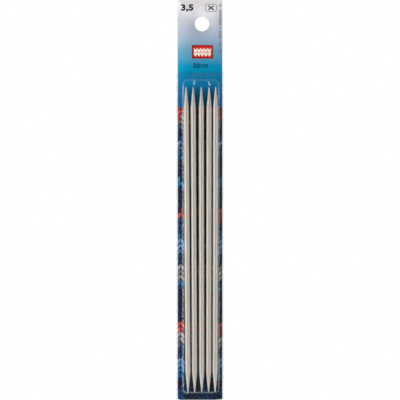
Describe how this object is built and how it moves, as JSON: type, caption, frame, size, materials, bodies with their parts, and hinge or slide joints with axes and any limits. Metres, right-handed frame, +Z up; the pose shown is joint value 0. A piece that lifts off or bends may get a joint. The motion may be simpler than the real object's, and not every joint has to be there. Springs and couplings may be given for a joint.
{
  "type": "double pointed knitting needles in a hanging pack",
  "caption": "Slim double pointed knitting needles side by side in a clear blister that slides on a tall printed card with a round hang hole.",
  "frame": {"origin": "centre of the card's round hang hole, halfway through the card", "axes": "+Z up along the pack's length, +X to the right of someone facing the pack, the pack's front looks along -Y"},
  "size_m": [0.0312, 0.0066, 0.2636],
  "materials": {
    "card": "satin",
    "blister": "gloss",
    "needle": "satin"
  },
  "bodies": {
    "card": {"card": "card"},
    "blister": {"blister": "blister"},
    "needle_1": {"needle_1": "needle"},
    "needle_2": {"needle_2": "needle"},
    "needle_3": {"needle_3": "needle"},
    "needle_4": {"needle_4": "needle"},
    "needle_5": {"needle_5": "needle"}
  },
  "joints": [
    {"name": "blister_slide", "type": "slide", "parent": "card", "child": "blister", "axis": [0, 0, -1], "range_m": [0, 0.2155]},
    {"name": "needle_1_slide", "type": "slide", "parent": "blister", "child": "needle_1", "axis": [-0.0063, 0, 1], "range_m": [0, 0.0042]},
    {"name": "needle_2_slide", "type": "slide", "parent": "blister", "child": "needle_2", "axis": [-0.0053, 0, 1], "range_m": [0, 0.0043]},
    {"name": "needle_3_slide", "type": "slide", "parent": "blister", "child": "needle_3", "axis": [-0.0017, 0, 1], "range_m": [0, 0.0043]},
    {"name": "needle_4_slide", "type": "slide", "parent": "blister", "child": "needle_4", "axis": [0.0015, 0, 1], "range_m": [0, 0.0043]},
    {"name": "needle_5_slide", "type": "slide", "parent": "blister", "child": "needle_5", "axis": [0.0017, 0, 1], "range_m": [0, 0.0042]}
  ]
}
